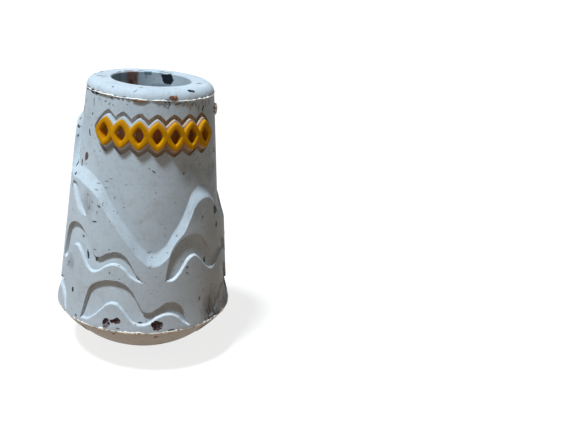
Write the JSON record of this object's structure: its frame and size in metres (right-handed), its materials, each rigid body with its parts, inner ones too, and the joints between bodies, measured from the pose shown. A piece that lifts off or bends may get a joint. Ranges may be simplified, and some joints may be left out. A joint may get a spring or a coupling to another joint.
{
  "type": "rubber cane tip",
  "caption": "Moulded rubber ferrule for a cane: flared foot, wave-shaped raised flank with tapering grooves, coloured lozenge row, blind 19 mm socket, domed petal sole.",
  "frame": {"origin": "centre of the bounding box's bottom, on the axis at the lowest face of the stud", "axes": "+Z along the socket's axis, out of the mouth; -Y is the front, in the trough of the wave"},
  "size_m": [0.0444, 0.0444, 0.0689],
  "materials": {
    "white_rubber": "matt",
    "yellow_rubber": "matt"
  },
  "bodies": {
    "root": {"tip_body": "white_rubber", "coloured_band": "yellow_rubber"}
  },
  "joints": []
}
